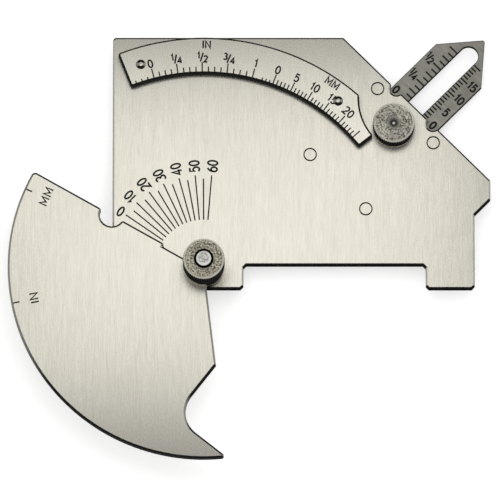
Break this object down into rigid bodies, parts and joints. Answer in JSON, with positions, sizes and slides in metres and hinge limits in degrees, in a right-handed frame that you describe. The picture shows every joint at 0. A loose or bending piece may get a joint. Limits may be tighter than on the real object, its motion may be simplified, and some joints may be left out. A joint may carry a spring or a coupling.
{
  "type": "weld gauge",
  "caption": "Flat stainless weld gauge: a bridge plate with feet, a swinging hooked cam read on a curved scale, and a slotted sliding throat pointer locked by knurled knobs.",
  "frame": {"origin": "middle of the gauge's bounding box as it lies, on the surface that its rear cover rests on", "axes": "+X along the feet towards the nose, +Y up the bridge plate away from the feet, +Z out of the front face"},
  "size_m": [0.1296, 0.116, 0.019],
  "materials": {
    "plate_steel": "brushed stainless steel with one grain direction",
    "pointer_steel": "darker rolled stainless steel",
    "rivet_steel": "ground flush stainless steel",
    "turned_steel": "turned and knurled steel, dull"
  },
  "bodies": {
    "bridge": {"body_plate": "plate_steel", "scale_plate": "plate_steel", "scale_rivets": "rivet_steel", "guide_rivets": "rivet_steel", "rear_cover": "plate_steel", "pivot_stud": "turned_steel"},
    "cam": {"cam_plate": "plate_steel", "cam_washer": "turned_steel"},
    "pointer": {"throat_pointer": "pointer_steel"},
    "nut": {"cam_thumb_nut": "turned_steel"},
    "screw": {"clamp_screw": "turned_steel"}
  },
  "joints": [
    {"name": "cam_swing", "type": "hinge", "parent": "bridge", "child": "cam", "pos_m": [-0.01218, -0.0054, 0.00765], "axis": [0, 0, 1], "continuous": true},
    {"name": "pointer_slide", "type": "slide", "parent": "bridge", "child": "pointer", "axis": [0.7071, 0.7071, 0], "range_m": [-0.027, 0.002]},
    {"name": "nut_turn", "type": "hinge", "parent": "bridge", "child": "nut", "pos_m": [-0.01218, -0.0054, 0.0141], "axis": [0, 0, 1], "range_deg": [0, 360]},
    {"name": "screw_turn", "type": "hinge", "parent": "bridge", "child": "screw", "pos_m": [0.03883, 0.03325, 0.0093], "axis": [0, 0, 1], "range_deg": [0, 360]}
  ]
}
